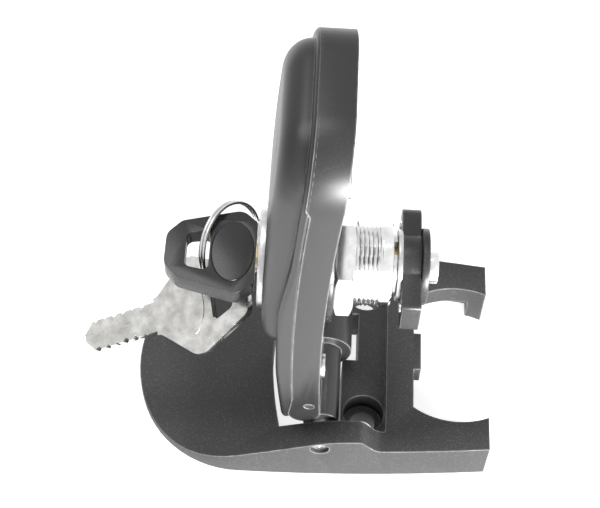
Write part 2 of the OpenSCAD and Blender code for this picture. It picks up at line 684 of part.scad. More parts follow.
// Spare key: one piece of nickelled metal, hung on the ring by the hole in its bow
spare_spot = [-24.64, -6.59, -20.97];
spare_turns = [163.3, 31.3, -176.9];
spare_t = 2.2;
module spare_bow() {
    difference() {
        polygon(rounded([[1, -5, 0], [0, -5, 3], [-bow_len * 0.4, -bow_half_w, 4],
                         [-bow_len, -bow_half_w * 0.42, 3.5], [-bow_len, bow_half_w * 0.42, 3.5],
                         [-bow_len * 0.4, bow_half_w, 4], [0, 5, 3], [1, 5, 0]], 5));
        polygon(rounded([[-bow_len * 0.6, -6, 1.2], [-bow_len * 0.84, -3.4, 2.4],
                         [-bow_len * 0.84, 3.4, 2.4], [-bow_len * 0.6, 6, 1.2]], 5));
    }
}
module spare_key() color([0.82, 0.81, 0.76]) {
    side = spare_blade_w / 2;
    emboss = 0.3;
    translate([head_x1, 0, lock_z] + spare_spot) rotate(spare_turns) difference() {
        union() {
            translate([0, 0, -spare_t / 2]) linear_extrude(spare_t) union() {
                spare_bow();
                polygon([[-1, -side], [blade_len - 3, -side], [blade_len, -0.8],
                         [blade_len, 0.8], [blade_len - 3, side], [-1, side]]);
            }
            translate([-bow_len * 0.34, 0, -spare_t / 2 - emboss]) scale([0.6, 1])
                linear_extrude(spare_t + 2 * emboss) circle(r = 8.2);
        }
        blade_cuts(5, side, spare_t);
    }
}
// Bitting notches on both edges of a blade, and a groove along the middle of both faces
module blade_cuts(x, side, t) {
    for (i = [0:5]) for (edge = [-1, 1])
        translate([x + i * 3, edge * (side + 0.55 - 0.3 * ((i + (edge + 1)) % 3)), 0])
            rotate([0, 0, 45]) cube([1.4, 1.4, 2 * t + 2], center = true);
    for (z = [-t / 2, t / 2]) translate([x - 4, -0.7, z - 0.35]) cube([blade_len, 1.4, 0.7]);
}

base_casting();
hinge_pin();
lid_inner_shell();
lid_outer_shell();
lid_screws();
lid_side_pins();
lock_escutcheon();
lock_barrel();
lock_gasket();
lock_nut();
plug();
wafer_tumblers();
plug_clip();
cam_stop_washer();
cam();
cam_tip_pins();
cam_hub_washer();
cam_bolt();
key_blade();
key_head();
key_badge();
split_ring();
spare_key();
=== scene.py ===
import json
import math

import bmesh
import bpy
import numpy as np
from mathutils import Matrix, Vector


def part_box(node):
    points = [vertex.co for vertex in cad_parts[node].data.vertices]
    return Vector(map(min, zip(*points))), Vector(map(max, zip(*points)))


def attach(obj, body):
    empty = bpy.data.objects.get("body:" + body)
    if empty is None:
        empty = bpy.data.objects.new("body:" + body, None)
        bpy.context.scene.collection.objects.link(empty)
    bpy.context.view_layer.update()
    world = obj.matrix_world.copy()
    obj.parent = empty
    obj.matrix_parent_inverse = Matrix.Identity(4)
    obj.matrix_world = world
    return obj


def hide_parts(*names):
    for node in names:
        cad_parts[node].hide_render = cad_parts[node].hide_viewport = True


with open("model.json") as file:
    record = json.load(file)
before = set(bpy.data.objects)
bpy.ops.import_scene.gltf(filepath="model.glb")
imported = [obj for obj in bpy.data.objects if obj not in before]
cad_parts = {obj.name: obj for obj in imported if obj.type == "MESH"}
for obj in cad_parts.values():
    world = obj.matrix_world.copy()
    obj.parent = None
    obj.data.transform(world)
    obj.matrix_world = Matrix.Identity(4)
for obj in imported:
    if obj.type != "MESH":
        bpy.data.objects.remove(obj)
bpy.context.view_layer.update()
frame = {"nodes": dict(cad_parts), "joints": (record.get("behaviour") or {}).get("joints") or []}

mm = 0.001
scene = bpy.context.scene
scene.view_settings.view_transform = "Standard"


# --- Camera ---------------------------------------------------------------------------
# It stands in front of the base and looks down on it, a little turned and rolled, with
# the lens of a small product set-up.
camera_place = Vector((-18.0, -200.9, 369.9)) * mm
camera_down = 57.0
camera_turn = 0.41
camera_roll = 2.73
camera_lens = 87.65

camera_data = bpy.data.cameras.new("camera")
camera_data.sensor_width = 36
camera_data.lens = camera_lens
camera_data.clip_start = 0.01
camera_data.clip_end = 20
camera = bpy.data.objects.new("camera", camera_data)
scene.collection.objects.link(camera)
camera.matrix_world = (
    Matrix.Translation(camera_place)
    @ Matrix.Rotation(math.radians(camera_turn), 4, "Z")
    @ Matrix.Rotation(math.radians(90 - camera_down), 4, "X")
    @ Matrix.Rotation(math.radians(camera_roll), 4, "Z")
)
scene.camera = camera


# --- Floor and light ------------------------------------------------------------------
# A wide pale sheet under the base, a big soft box low in front, one above and behind,
# and an even pale room that the bright metal parts reflect.
floor_size = 3.0
floor_drop = 0.05 * mm
floor_colour = (0.6, 0.6, 0.6)
floor_glow = 0.82
room_colour = (1, 1, 1, 1)
room_level = 0.34
room_seen_level = 1.0


def material(name, colour, rough, metal=0.0):
    made = bpy.data.materials.new(name)
    made.use_nodes = True
    shader = made.node_tree.nodes["Principled BSDF"]
    shader.inputs["Base Color"].default_value = (*colour, 1)
    shader.inputs["Roughness"].default_value = rough
    shader.inputs["Metallic"].default_value = metal
    return made, made.node_tree, shader


floor_mesh = bpy.data.meshes.new("floor")
half = floor_size / 2
floor_mesh.from_pydata(
    [(-half, -half, 0), (half, -half, 0), (half, half, 0), (-half, half, 0)], [], [(0, 1, 2, 3)]
)
floor = bpy.data.objects.new("floor", floor_mesh)
floor.location.z = -floor_drop
scene.collection.objects.link(floor)
floor_paper, tree, shader = material("floor_paper", floor_colour, 0.9)


def sees_white(tree):
    """1 for the rays that show the background: straight ones, mirrored ones and refracted ones."""
    ray = tree.nodes.new("ShaderNodeLightPath")
    found = ray.outputs["Is Camera Ray"]
    for kind in ("Is Glossy Ray", "Is Transmission Ray"):
        either = tree.nodes.new("ShaderNodeMath")
        either.operation = "MAXIMUM"
        tree.links.new(found, either.inputs[0])
        tree.links.new(ray.outputs[kind], either.inputs[1])
        found = either.outputs[0]
    return found


# The sheet is lifted nearly to white where it is looked at, and keeps the lock's shadow
glow = tree.nodes.new("ShaderNodeEmission")
glow.inputs["Color"].default_value = room_colour
level = tree.nodes.new("ShaderNodeMath")
level.operation = "MULTIPLY"
level.inputs[1].default_value = floor_glow
tree.links.new(sees_white(tree), level.inputs[0])
tree.links.new(level.outputs[0], glow.inputs["Strength"])
lift = tree.nodes.new("ShaderNodeAddShader")
tree.links.new(shader.outputs[0], lift.inputs[0])
tree.links.new(glow.outputs[0], lift.inputs[1])
tree.links.new(lift.outputs[0], tree.nodes["Material Output"].inputs["Surface"])
floor_mesh.materials.append(floor_paper)

room = bpy.data.worlds.new("room")
room.use_nodes = True
scene.world = room
room_nodes = room.node_tree
back = room_nodes.nodes["Background"]
back.inputs["Color"].default_value = room_colour
back.inputs["Strength"].default_value = room_level
white = room_nodes.nodes.new("ShaderNodeBackground")
white.inputs["Color"].default_value = room_colour
white.inputs["Strength"].default_value = room_seen_level
seen = room_nodes.nodes.new("ShaderNodeMixShader")
room_nodes.links.new(sees_white(room_nodes), seen.inputs["Fac"])
room_nodes.links.new(back.outputs[0], seen.inputs[1])
room_nodes.links.new(white.outputs[0], seen.inputs[2])
room_nodes.links.new(seen.outputs[0], room_nodes.nodes["World Output"].inputs["Surface"])


def soft_box(name, place, aim, size, power):
    data = bpy.data.lights.new(name, "AREA")
    data.shape = "RECTANGLE"
    data.size, data.size_y = size
    data.energy = power
    lamp = bpy.data.objects.new(name, data)
    lamp.location = place
    lamp.rotation_euler = (Vector(aim) - Vector(place)).to_track_quat("-Z", "Y").to_euler()
    scene.collection.objects.link(lamp)


soft_box("front_box", (0.4, -0.7, 0.14), (0, 0, 0.04), (0.7, 0.35), 40.0)
soft_box("top_box", (-0.3, 0.25, 0.85), (0, 0, 0.05), (0.5, 0.5), 2.4)


# --- Base casting ---------------------------------------------------------------------
# One zinc die casting: the tail, the two cheeks of the hinge and the fork. It is powder
# coated black with a fine speckle; its edges are painted lighter, partly as the coat worn
# thin and partly as a painted highlight.
weld_distance = 0.001 * mm
flat_within = math.radians(0.4)
cast_colour = (0.017, 0.017, 0.0175)
cast_round = 0.55 * mm
tiny = 0.002 * mm


def cad_mesh(node, whole_faces=True):
    """The node's shape as a fresh bmesh, with its flat faces whole or as they were cut."""
    shape = bmesh.new()
    shape.from_mesh(frame["nodes"][node].data)
    bmesh.ops.remove_doubles(shape, verts=shape.verts, dist=weld_distance)
    if whole_faces:
        bmesh.ops.dissolve_limit(
            shape, angle_limit=flat_within, verts=shape.verts, edges=shape.edges
        )
    return shape


def piece_from(shape, name, body, finish, stands_for, smooth=35):
    """Makes the shape an object of its own that rides on its body and stands for a node."""
    mesh = bpy.data.meshes.new(name)
    shape.to_mesh(mesh)
    shape.free()
    mesh.shade_smooth()
    mesh.set_sharp_from_angle(angle=math.radians(smooth))
    mesh.materials.append(finish)
    piece = bpy.data.objects.new(name, mesh)
    scene.collection.objects.link(piece)
    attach(piece, body)
    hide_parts(stands_for)
    return piece


def round_edges(piece, width, steps=3):
    """Rounds sharp edges for good, by this width at most.

    Where edges lie close together the clamp narrows the rounding over the whole piece. It comes
    to next to nothing on the base, the lid's inner shell and screws, the key's head and the spare.
    """
    bevel = piece.modifiers.new("edges", "BEVEL")
    bevel.width = width
    bevel.segments = steps
    bevel.limit_method = "ANGLE"
    bevel.angle_limit = math.radians(30)
    bevel.miter_outer = "MITER_ARC"
    bevel.use_clamp_overlap = True
    bevel.harden_normals = False
    done = piece.evaluated_get(bpy.context.evaluated_depsgraph_get())
    mesh = bpy.data.meshes.new_from_object(done)
    piece.modifiers.clear()
    piece.data = mesh
    mesh.shade_smooth()
    mesh.set_sharp_from_angle(angle=math.radians(40))


def node_group(name, sockets_in, sockets_out):
    group = bpy.data.node_groups.new(name, "ShaderNodeTree")
    for label, kind, value in sockets_in:
        socket = group.interface.new_socket(label, in_out="INPUT", socket_type=kind)
        socket.default_value = value
    for label, kind in sockets_out:
        group.interface.new_socket(label, in_out="OUTPUT", socket_type=kind)
    start = group.nodes.new("NodeGroupInput")
    end = group.nodes.new("NodeGroupOutput")
    return group, start, end


def math_node(tree, kind, first, second):
    node = tree.nodes.new("ShaderNodeMath")
    node.operation = kind
    for socket, value in zip(node.inputs, (first, second)):
        if isinstance(value, (int, float)):
            socket.default_value = value
        else:
            tree.links.new(value, socket)
    return node.outputs[0]


# Grain: fine bumps and small specks, sized in grains per metre
grain, start, end = node_group(
    "grain",
    [("Fineness", "NodeSocketFloat", 1500.0), ("Speck Fineness", "NodeSocketFloat", 2200.0)],
    [("Height", "NodeSocketFloat"), ("Specks", "NodeSocketFloat"), ("Cloud", "NodeSocketFloat")],
)
place = grain.nodes.new("ShaderNodeTexCoord")
bumps = grain.nodes.new("ShaderNodeTexNoise")
bumps.inputs["Detail"].default_value = 3
bumps.inputs["Roughness"].default_value = 0.6
specks = grain.nodes.new("ShaderNodeTexNoise")
specks.inputs["Detail"].default_value = 1
cloud = grain.nodes.new("ShaderNodeTexNoise")
cloud.inputs["Scale"].default_value = 55
cloud.inputs["Detail"].default_value = 4
sharp = grain.nodes.new("ShaderNodeMapRange")
sharp.inputs["From Min"].default_value = 0.58
sharp.inputs["From Max"].default_value = 0.72
for noise in (bumps, specks, cloud):
    grain.links.new(place.outputs["Object"], noise.inputs["Vector"])
grain.links.new(start.outputs["Fineness"], bumps.inputs["Scale"])
grain.links.new(start.outputs["Speck Fineness"], specks.inputs["Scale"])
grain.links.new(specks.outputs["Fac"], sharp.inputs["Value"])
grain.links.new(bumps.outputs["Fac"], end.inputs["Height"])
grain.links.new(sharp.outputs["Result"], end.inputs["Specks"])
grain.links.new(cloud.outputs["Fac"], end.inputs["Cloud"])

# Worn edge and painted edge highlight: how far the surface turns within a small radius,
# broken up by noise; the lighter edge colour stands for both wear and a painted highlight.
wear_and_highlight_group, start, end = node_group(
    "edge_wear_and_highlight",
    [("Radius", "NodeSocketFloat", 0.0008), ("Amount", "NodeSocketFloat", 1.0)],
    [("Mask", "NodeSocketFloat")],
)
near = wear_and_highlight_group.nodes.new("ShaderNodeBevel")
near.samples = 6
here = wear_and_highlight_group.nodes.new("ShaderNodeNewGeometry")
turned = wear_and_highlight_group.nodes.new("ShaderNodeVectorMath")
turned.operation = "DOT_PRODUCT"
spread = wear_and_highlight_group.nodes.new("ShaderNodeMapRange")
spread.inputs["From Min"].default_value = 0.985
spread.inputs["From Max"].default_value = 0.85
place = wear_and_highlight_group.nodes.new("ShaderNodeTexCoord")
patch = wear_and_highlight_group.nodes.new("ShaderNodeTexNoise")
patch.inputs["Scale"].default_value = 420
patch.inputs["Detail"].default_value = 4
wear_and_highlight_group.links.new(place.outputs["Object"], patch.inputs["Vector"])
wear_and_highlight_group.links.new(start.outputs["Radius"], near.inputs["Radius"])
wear_and_highlight_group.links.new(near.outputs["Normal"], turned.inputs[0])
wear_and_highlight_group.links.new(here.outputs["Normal"], turned.inputs[1])
wear_and_highlight_group.links.new(turned.outputs["Value"], spread.inputs["Value"])
amount = math_node(wear_and_highlight_group, "MULTIPLY", spread.outputs["Result"], start.outputs["Amount"])
broken = math_node(wear_and_highlight_group, "MULTIPLY", amount, patch.outputs["Fac"])
wear_and_highlight_group.links.new(broken, end.inputs["Mask"])


def use_group(tree, group, **values):
    node = tree.nodes.new("ShaderNodeGroup")
    node.node_tree = group
    for label, value in values.items():
        node.inputs[label.replace("_", " ")].default_value = value
    return node


def mix_colour(tree, factor, first, second):
    node = tree.nodes.new("ShaderNodeMix")
    node.data_type = "RGBA"
    tree.links.new(factor, node.inputs["Factor"])
    for socket, value in ((node.inputs["A"], first), (node.inputs["B"], second)):
        if isinstance(value, tuple):
            socket.default_value = (*value, 1)
        else:
            tree.links.new(value, socket)
    return node.outputs["Result"]


def bump(tree, height, depth, shader, strength):
    node = tree.nodes.new("ShaderNodeBump")
    node.inputs["Strength"].default_value = strength
    node.inputs["Distance"].default_value = depth
    tree.links.new(height, node.inputs["Height"])
    tree.links.new(node.outputs["Normal"], shader.inputs["Normal"])


def coated(name, colour, speck_colour, edge_colour, rough, fineness, depth, edge):
    """Powder coat or moulded plastic: specks, grain, soft clouds, and edges painted lighter as wear and
    as a painted highlight.
    """
    made, tree, shader = material(name, colour, rough)
    texture = use_group(tree, grain, Fineness=fineness, Speck_Fineness=fineness * 1.3)
    wear_and_highlight = use_group(tree, wear_and_highlight_group, Radius=0.7 * mm, Amount=edge)
    speckled = mix_colour(tree, texture.outputs["Specks"], colour, speck_colour)
    # The edge colour is partly worn coat and partly a painted highlight on the edges
    shown = mix_colour(tree, wear_and_highlight.outputs["Mask"], speckled, edge_colour)
    tree.links.new(shown, shader.inputs["Base Color"])
    swing = tree.nodes.new("ShaderNodeMapRange")
    swing.inputs["To Min"].default_value = rough - 0.08
    swing.inputs["To Max"].default_value = rough + 0.08
    tree.links.new(texture.outputs["Cloud"], swing.inputs["Value"])
    tree.links.new(swing.outputs["Result"], shader.inputs["Roughness"])
    bump(tree, texture.outputs["Height"], depth, shader, 0.6)
    return made


# The light edge colour is partly worn coat and partly a painted highlight
cast_coat = coated(
    "cast_coat", cast_colour, (0.07, 0.07, 0.07), (0.45, 0.45, 0.45), 0.5, 2300, 0.03 * mm, 0.8
)
base = piece_from(
    cad_mesh("base_casting"), "base_cast", "base", cast_coat, "base_casting"
)
round_edges(base, cast_round)


# --- Hinge pin ------------------------------------------------------------------------
# A plain ground steel pin driven through both cheeks. Its ends sit a little below the
# cheeks, chamfered, with the centre left by the lathe.
pin_low, pin_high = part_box("hinge_pin")
pin_radius = (pin_high.x - pin_low.x) / 2
pin_half = pin_high.y
pin_centre = (pin_low + pin_high) / 2


def lathe(profile, centre, axis, around=96):
    """Turns (along, radius) points about an axis; a radius of 0 closes an end."""
    shape = bmesh.new()
    frame_of_axis = Vector((0, 0, 1)).rotation_difference(Vector(axis)).to_matrix()
    rings = []
    for along, radius in profile:
        if radius == 0:
            rings.append([shape.verts.new(Vector(centre) + frame_of_axis @ Vector((0, 0, along)))])
            continue
        ring = []
        for step in range(around):
            angle = math.tau * step / around
            spot = Vector((radius * math.cos(angle), radius * math.sin(angle), along))
            ring.append(shape.verts.new(Vector(centre) + frame_of_axis @ spot))
        rings.append(ring)
    for low, high in zip(rings, rings[1:]):
        for step in range(around):
            after = (step + 1) % around
            if len(low) == 1:
                shape.faces.new((low[0], high[step], high[after]))
            elif len(high) == 1:
                shape.faces.new((low[step], high[0], low[after]))
            else:
                shape.faces.new((low[step], high[step], high[after], low[after]))
    bmesh.ops.remove_doubles(shape, verts=shape.verts, dist=tiny)
    bmesh.ops.recalc_face_normals(shape, faces=shape.faces)
    return shape


# Scratches: long thin marks along one direction, and soft stains, for bare metal
rubbed, start, end = node_group(
    "rubbed_metal",
    [("Stretch", "NodeSocketVector", (200, 200, 4000)), ("Fineness", "NodeSocketFloat", 300.0)],
    [("Height", "NodeSocketFloat"), ("Stain", "NodeSocketFloat")],
)
place = rubbed.nodes.new("ShaderNodeTexCoord")
stretched = rubbed.nodes.new("ShaderNodeVectorMath")
stretched.operation = "MULTIPLY"
lines = rubbed.nodes.new("ShaderNodeTexNoise")
lines.inputs["Scale"].default_value = 1
lines.inputs["Detail"].default_value = 4
stain = rubbed.nodes.new("ShaderNodeTexNoise")
stain.inputs["Detail"].default_value = 5
rubbed.links.new(place.outputs["Object"], stretched.inputs[0])
rubbed.links.new(start.outputs["Stretch"], stretched.inputs[1])
rubbed.links.new(stretched.outputs[0], lines.inputs["Vector"])
rubbed.links.new(place.outputs["Object"], stain.inputs["Vector"])
rubbed.links.new(start.outputs["Fineness"], stain.inputs["Scale"])
rubbed.links.new(lines.outputs["Fac"], end.inputs["Height"])
rubbed.links.new(stain.outputs["Fac"], end.inputs["Stain"])


def bare_metal(name, colour, dark, rough, stretch, depth=0.004 * mm):
    """Plated or ground metal: fine rubbed lines, uneven gloss and darker stains."""
    made, tree, shader = material(name, colour, rough, metal=1.0)
    marks = use_group(tree, rubbed, Stretch=stretch)
    shown = tree.nodes.new("ShaderNodeMapRange")
    shown.inputs["From Min"].default_value = 0.35
    shown.inputs["From Max"].default_value = 0.75
    tree.links.new(marks.outputs["Stain"], shown.inputs["Value"])
    tone = mix_colour(tree, shown.outputs["Result"], colour, dark)
    tree.links.new(tone, shader.inputs["Base Color"])
    gloss = tree.nodes.new("ShaderNodeMapRange")
    gloss.inputs["To Min"].default_value = max(rough - 0.08, 0.05)
    gloss.inputs["To Max"].default_value = rough + 0.12
    tree.links.new(marks.outputs["Height"], gloss.inputs["Value"])
    tree.links.new(gloss.outputs["Result"], shader.inputs["Roughness"])
    bump(tree, marks.outputs["Height"], depth, shader, 0.5)
    return made


pin_steel = bare_metal(
    "pin_steel", (0.68, 0.68, 0.69), (0.45, 0.45, 0.46), 0.28, (3000, 150, 3000)
)
chamfer = 0.35 * mm
centre_radius = 0.6 * mm
centre_depth = 0.45 * mm
pin_end = [(0, pin_radius), (chamfer, pin_radius - chamfer), (chamfer, centre_radius),
           (chamfer - centre_depth, 0)]
pin_profile = [(-(pin_half - chamfer + along), radius) for along, radius in reversed(pin_end)]
pin_profile += [(pin_half - chamfer + along, radius) for along, radius in pin_end]
piece_from(
    lathe(pin_profile, pin_centre, (0, 1, 0)),
    "hinge_pin_ground", "base", pin_steel, "hinge_pin",
)


# --- Lid, inner shell -----------------------------------------------------------------
# The flat half of the lid with the hinge barrel and its lug in one casting. It has a
# smoother coat than the base, edges painted lighter as wear and as a painted highlight,
# and a shallow tray on the inner face.
# The light edge colour is partly worn coat and partly a painted highlight
lid_coat = coated(
    "lid_coat", (0.015, 0.015, 0.0155), (0.026, 0.026, 0.026), (0.55, 0.55, 0.55), 0.33, 2300,
    0.012 * mm, 0.6
)
lid_joint = next(j for j in frame["joints"] if j["name"] == "lid_hinge")
hinge_x, _, hinge_z = lid_joint["pos_m"]
lid_low, lid_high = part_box("lid_inner_shell")
lid_half = (lid_high.y - lid_low.y) / 2
lid_top = lid_high.z
face_set_back = 1.3 * mm
face_x = hinge_x - face_set_back
solid_seam = 8.4 * mm
parting = 7.2 * mm
seam_search = 0.03 * mm
seam_foot = hinge_z + 5 * mm
bow_radius = 700 * mm
bow_z = hinge_z + 38 * mm


def bow(z):
    """How far the lid's faces lie back from upright at this height."""
    return bow_radius - math.sqrt(bow_radius ** 2 - (z - bow_z) ** 2)


# The two shells part nearer to the face here than the solids do
inner_shape = cad_mesh("lid_inner_shell")
for corner in inner_shape.verts:
    seam_x = face_x - solid_seam + bow(corner.co.z)
    if abs(corner.co.x - seam_x) < seam_search and corner.co.z > seam_foot:
        corner.co.x += solid_seam - parting
shell = piece_from(inner_shape, "lid_shell", "lid", lid_coat, "lid_inner_shell")
round_edges(shell, 0.5 * mm)


# --- Lid, outer shell -----------------------------------------------------------------
# The second casting, screwed on from inside: a thin flange round a tall dome, thicker at
# the heel. Its rings of outline run from the seam up the round-over to the dome's top.
flange_t = 2.0 * mm
heel_t = 4.2 * mm
heel_top = 24 * mm
heel_run = 28 * mm
foot_run = 26 * mm
foot_thinning = 1.1 * mm
dome_t = 8.2 * mm
dome_inset = 2.4 * mm
dome_round = 5.4 * mm
dome_tail = 16 * mm
dome_foot = hinge_z + 26.5 * mm
corner_r = 16 * mm
seam_gap = 0.05 * mm
seam_inset = 0.3 * mm
flange_edge = 1.4 * mm
flange_foot = hinge_z + 3 * mm
flange_tail = 2 * mm
corner_steps = 18
side_steps = 24
turn_step = 5
edge_steps = 6
round_steps = 12


def shell_outline(width, top, corner, turn, tail):
    """Straight sides, a rounded far end and a curved lower end, as (y, z) points."""
    points = []
    for step in range(corner_steps + 1):
        angle = math.radians(90 - turn_step * step)
        y = width - corner + corner * math.cos(angle)
        points.append((y, top - corner + corner * math.sin(angle)))
    for step in range(1, side_steps):
        points.append((width, top - corner + (turn - top + corner) * step / side_steps))
    for step in range(2 * corner_steps + 1):
        angle = math.radians(-turn_step * step)
        points.append((width * math.cos(angle), turn + tail * math.sin(angle)))
    for step in range(1, side_steps):
        points.append((-width, turn + (top - corner - turn) * step / side_steps))
    for step in range(corner_steps + 1):
        angle = math.radians(180 - turn_step * step)
        y = corner - width + corner * math.cos(angle)
        points.append((y, top - corner + corner * math.sin(angle)))
    return points


def flange_outline(inset):
    return shell_outline(
        lid_half - inset, lid_top - inset, corner_r - inset, flange_foot + inset, flange_tail
    )


def dome_outline(inset):
    return shell_outline(
        lid_half - dome_inset - inset, lid_top - dome_inset - inset,
        corner_r - dome_inset - inset / 2, dome_foot + dome_tail, dome_tail - inset
    )


def flange_height(z):
    """Thin beside the dome, thicker towards the heel."""
    run = min(1, max(0, (z - dome_foot - heel_top) / heel_run))
    ease = run * run * (3 - 2 * run)
    foot = min(1, max(0, (z - hinge_z) / foot_run))
    return flange_t * ease + (heel_t - foot_thinning * (1 - foot)) * (1 - ease)


def outer_shell():
    """Levels of outline from the seam outwards, joined by bands and closed by flat strips."""
    shape = bmesh.new()
    seam_x = face_x - parting
    levels = [[(seam_x - seam_gap + bow(z), y, z) for y, z in flange_outline(seam_inset)]]
    for step in range(edge_steps + 1):
        turn = math.radians(90 * step / edge_steps)
        drop = flange_edge * (1 - math.sin(turn))
        levels.append([
            (seam_x - flange_height(z) + drop + bow(z), y, z)
            for y, z in flange_outline(flange_edge * (1 - math.cos(turn)))
        ])
    for step in range(round_steps + 1):
        turn = math.radians(90 * step / round_steps)
        levels.append([
            (seam_x - flange_height(z) - (dome_t - flange_height(z)) * math.sin(turn) + bow(z), y, z)
            for y, z in dome_outline(dome_round * (1 - math.cos(turn)))
        ])
    rings = [[shape.verts.new(point) for point in level] for level in levels]
    count = len(rings[0])
    for low, high in zip(rings, rings[1:]):
        for step in range(count):
            after = (step + 1) % count
            shape.faces.new((low[step], low[after], high[after], high[step]))
    # The last strip of each end is a triangle, since the outline has an odd number of points
    for ring in (rings[0], rings[-1]):
        for step in range(count // 2):
            strip = (ring[step], ring[step + 1], ring[count - 2 - step], ring[count - 1 - step])
            if strip[1] is strip[2]:
                strip = (strip[0], strip[1], strip[3])
            shape.faces.new(strip)
    bmesh.ops.recalc_face_normals(shape, faces=shape.faces)
    return shape


def bore(piece, radius, low_x, high_x, y, z):
    """Cuts a round hole along X through the piece, for good."""
    cutter_mesh = bpy.data.meshes.new("bore")
    cutter_shape = bmesh.new()
    middle = Matrix.Translation(((low_x + high_x) / 2, y, z)) @ Matrix.Rotation(math.pi / 2, 4, "Y")
    bmesh.ops.create_cone(
        cutter_shape, cap_ends=True, segments=128, radius1=radius, radius2=radius,
        depth=high_x - low_x, matrix=middle,
    )
    cutter_shape.to_mesh(cutter_mesh)
    cutter_shape.free()
    cutter = bpy.data.objects.new("bore", cutter_mesh)
    scene.collection.objects.link(cutter)
    cut = piece.modifiers.new("bore", "BOOLEAN")
    cut.object = cutter
    cut.operation = "DIFFERENCE"
    cut.solver = "EXACT"
    done = piece.evaluated_get(bpy.context.evaluated_depsgraph_get())
    mesh = bpy.data.meshes.new_from_object(done)
    piece.modifiers.clear()
    piece.data = mesh
    bpy.data.objects.remove(cutter)
    mesh.shade_smooth()
    mesh.set_sharp_from_angle(angle=math.radians(35))


dome = piece_from(outer_shell(), "lid_dome", "lid", lid_coat, "lid_outer_shell")
rose_low, rose_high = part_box("lock_escutcheon")
rose_y = (rose_low.y + rose_high.y) / 2
rose_z = (rose_low.z + rose_high.z) / 2
rose_play = 0.05 * mm
rose_radius = (rose_high.z - rose_low.z) / 2 + rose_play
barrel_bore = 11.05 * mm
behind_dome = face_x - 40 * mm
bore(dome, barrel_bore, behind_dome, face_x + 10 * mm, rose_y, rose_z)
bore(dome, rose_radius, behind_dome, rose_high.x + rose_play, rose_y, rose_z)


# --- Lid screws and side pins ---------------------------------------------------------
# Small pan-head screws hold the two shells together; a steel pin sits in each side of
# the inner shell near the hinge.
screw_zinc = bare_metal(
    "screw_zinc", (0.66, 0.66, 0.66), (0.4, 0.4, 0.4), 0.3, (900, 900, 900)
)
screws = piece_from(
    cad_mesh("lid_screws"), "lid_screw_heads", "lid", screw_zinc, "lid_screws"
)
round_edges(screws, 0.25 * mm)
side_pins = piece_from(
    cad_mesh("lid_side_pins"), "lid_side_dowels", "lid", pin_steel, "lid_side_pins"
)
round_edges(side_pins, 0.25 * mm)


# --- Lock barrel ----------------------------------------------------------------------
# A plated barrel with a fine thread and two flats milled along it. The last part before
# the cam is plain.
barrel_low, barrel_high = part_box("lock_barrel")
lock_y = (barrel_low.y + barrel_high.y) / 2
lock_z = (barrel_low.z + barrel_high.z) / 2
thread_radius = 10.9 * mm
flats_half = 9.95 * mm
flats_reach = 0.2
flat_turn = math.radians(-23)
thread_pitch = 1.1 * mm
thread_depth = 0.62 * mm
flank_slope = 1.25
crest_share = 0.12
plain_end = 2.6 * mm
plain_drop = 0.1 * mm
lip_drop = 0.35 * mm
lip_len = 0.5 * mm
bore_radius = 6.56 * mm
hidden_start = 0.5 * mm
barrel_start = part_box("lock_gasket")[0].x + hidden_start
barrel_end = barrel_high.x

bright_plate = bare_metal(
    "bright_plate", (0.93, 0.93, 0.93), (0.7, 0.7, 0.7), 0.16, (4200, 260, 260)
)


def threaded_barrel():
    """A tube whose outside follows one helix, cut by the two flats, with a plain bore."""
    around = 160
    rows_per_turn = 8
    step_x = thread_pitch / rows_per_turn
    rows = int((barrel_end - barrel_start) / step_x) + 1
    shape = bmesh.new()
    grid = []
    for row in range(rows + 1):
        x = min(barrel_start + row * step_x, barrel_end)
        ring = []
        for step in range(around):
            angle = math.tau * step / around
            phase = ((x - barrel_start) / thread_pitch - step / around) % 1
            tooth = abs(2 * phase - 1)
            cut = thread_depth * min(1, max(0, flank_slope * tooth - crest_share))
            fade = min(1, max(0, (barrel_end - plain_end - x) / thread_pitch))
            lip = lip_drop * max(0, 1 - (barrel_end - x) / lip_len)
            radius = thread_radius - cut * fade - plain_drop * (1 - fade) - lip
            across = abs(math.cos(angle - flat_turn))
            if across > flats_reach:
                radius = min(radius, flats_half / across)
            ring.append(shape.verts.new((
                x, lock_y + radius * math.cos(angle), lock_z + radius * math.sin(angle)
            )))
        grid.append(ring)
    inner = [shape.verts.new((
        barrel_end, lock_y + bore_radius * math.cos(math.tau * k / around),
        lock_z + bore_radius * math.sin(math.tau * k / around)
    )) for k in range(around)]
    deep = [shape.verts.new((barrel_start, v.co.y, v.co.z)) for v in inner]
    grid += [inner, deep, grid[0]]
    for low, high in zip(grid, grid[1:]):
        for step in range(around):
            after = (step + 1) % around
            shape.faces.new((low[step], low[after], high[after], high[step]))
    bmesh.ops.recalc_face_normals(shape, faces=shape.faces)
    return shape


piece_from(
    threaded_barrel(), "barrel_thread", "lid", bright_plate, "lock_barrel",
    smooth=25,
)
flange_radius = (barrel_high.z - barrel_low.z) / 2
flange_deep = 2.6 * mm
mouth_deep = 1.4 * mm
# Its section: the bore, a wider mouth with a chamfered lip, the face and the rim
flange = lathe(
    [(flange_deep, bore_radius), (mouth_deep, bore_radius), (mouth_deep, bore_radius + 1.1 * mm),
     (0.2 * mm, bore_radius + 1.3 * mm), (0, bore_radius + 1.7 * mm), (0, flange_radius - 0.5 * mm),
     (0.4 * mm, flange_radius), (flange_deep, flange_radius), (flange_deep, bore_radius)],
    (barrel_low.x, lock_y, lock_z), (1, 0, 0),
)
piece_from(flange, "barrel_flange", "lid", bright_plate, "lock_barrel")


